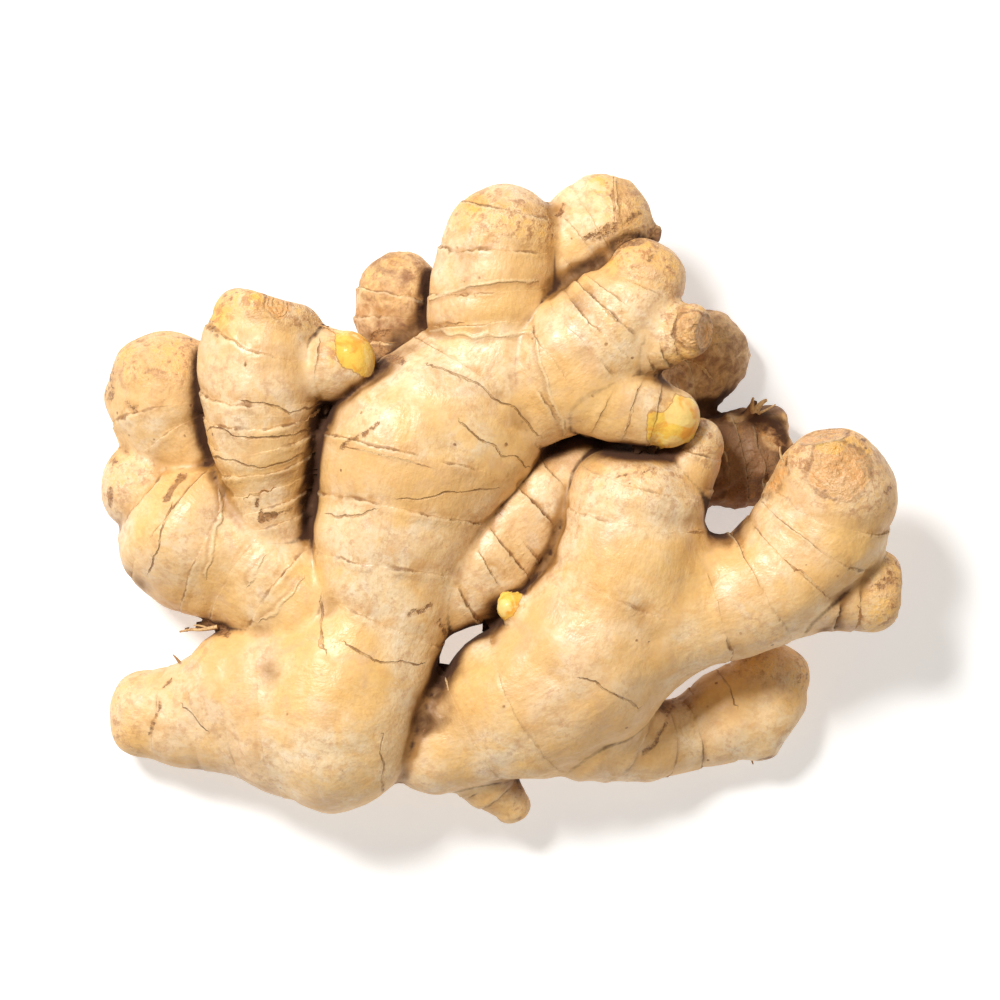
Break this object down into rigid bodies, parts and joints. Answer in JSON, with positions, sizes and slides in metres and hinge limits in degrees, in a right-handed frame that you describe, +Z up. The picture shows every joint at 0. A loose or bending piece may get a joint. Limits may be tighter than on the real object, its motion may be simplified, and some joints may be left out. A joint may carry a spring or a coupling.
{
  "type": "ginger root",
  "caption": "Hand of fresh ginger lying flat: one knobbly rhizome with branching fingers, leaf-scar rings, buds and stem scars.",
  "frame": {"origin": "bottom centre of the bounding box, on the surface that the hand lies on", "axes": "+Z up, the hand's shortest extent; +X along its longest extent, towards the long side arm; +Y towards the tallest upright fingers"},
  "size_m": [0.1397, 0.1143, 0.0402],
  "materials": {
    "ginger_skin": null
  },
  "bodies": {
    "root": {"ginger_rhizome": "ginger_skin"}
  },
  "joints": []
}
